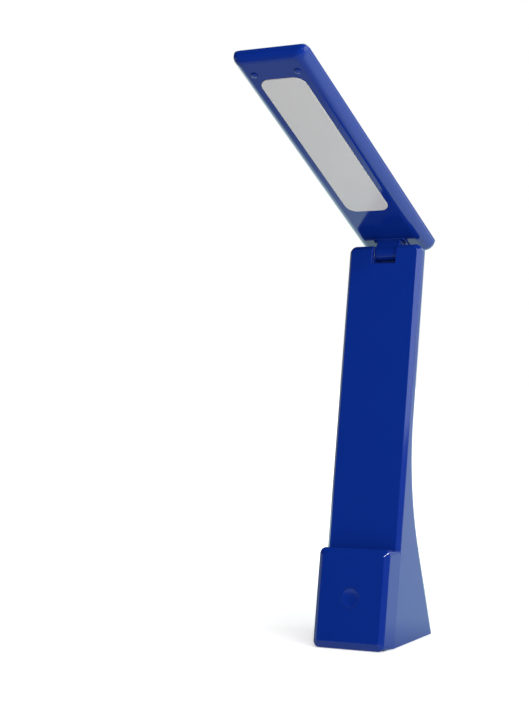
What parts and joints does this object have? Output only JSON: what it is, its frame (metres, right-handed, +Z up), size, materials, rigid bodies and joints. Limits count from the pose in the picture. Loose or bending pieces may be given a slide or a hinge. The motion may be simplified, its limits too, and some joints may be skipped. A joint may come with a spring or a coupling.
{
  "type": "folding led desk lamp",
  "caption": "Slim folding desk lamp: a flared foot and leaning stem carry a flat rectangular lamp head on a friction hinge, with a dished push button on the front.",
  "frame": {"origin": "on the desk, under the middle of the foot, at the underside of the rubber pad", "axes": "+Z up, -Y towards the front where the button is and the open head points, +X to the right of a viewer facing +Y"},
  "size_m": [0.055, 0.1832, 0.3898],
  "materials": {
    "blue_plastic": "gloss",
    "dark_plastic": "matte",
    "black_plastic": "matte",
    "white_plastic": "matte",
    "light_diffuser": "satin",
    "soft_rubber": "matte",
    "blue_rubber": "satin",
    "plated_steel": "satin",
    "raw_steel": "satin",
    "cell_wrap": "satin",
    "green_board": "satin",
    "aluminium_board": "satin",
    "yellow_phosphor": "satin",
    "wire_sleeve": "satin",
    "brass_contact": "satin"
  },
  "bodies": {
    "stand": {"front_cover": "blue_plastic", "rear_cover": "blue_plastic", "bottom_plate": "dark_plastic", "foot_pad": "soft_rubber", "base_screws": "plated_steel", "steel_weight": "raw_steel", "battery_cell": "cell_wrap", "battery_strap": "black_plastic", "strap_screws": "plated_steel", "battery_leads": "wire_sleeve", "main_board": "green_board", "board_components": "black_plastic", "board_screws": "plated_steel", "switch_body": "black_plastic", "charge_socket": "black_plastic", "socket_pin": "brass_contact", "socket_nut": "plated_steel", "socket_leads": "wire_sleeve", "stem_wires": "wire_sleeve", "left_hinge_bracket": "plated_steel", "right_hinge_bracket": "plated_steel", "bracket_screws": "plated_steel", "hinge_pin": "plated_steel", "friction_washers": "white_plastic", "spring_washer": "plated_steel", "hinge_nut": "plated_steel"},
    "button": {"power_button": "blue_plastic", "switch_plunger": "black_plastic"},
    "head": {"hinge_knuckle": "blue_plastic", "knuckle_screws": "plated_steel", "head_outer_shell": "blue_plastic", "head_inner_shell": "blue_plastic", "tip_screws": "plated_steel", "tip_bumpers": "blue_rubber", "diffuser": "light_diffuser", "light_reflector": "white_plastic", "led_board": "aluminium_board", "leds": "yellow_phosphor", "led_board_screws": "plated_steel", "head_wires": "wire_sleeve"}
  },
  "joints": [
    {"name": "head_hinge", "type": "hinge", "parent": "stand", "child": "head", "pos_m": [0, 0.03864, 0.26319], "axis": [-1, 0, 0], "range_deg": [-111, 39]},
    {"name": "button_press", "type": "slide", "parent": "stand", "child": "button", "axis": [0, 0.9767, -0.2147], "range_m": [0, 0.0008], "stiffness_N_per_m": 2000, "springref_m": -0.0004}
  ]
}
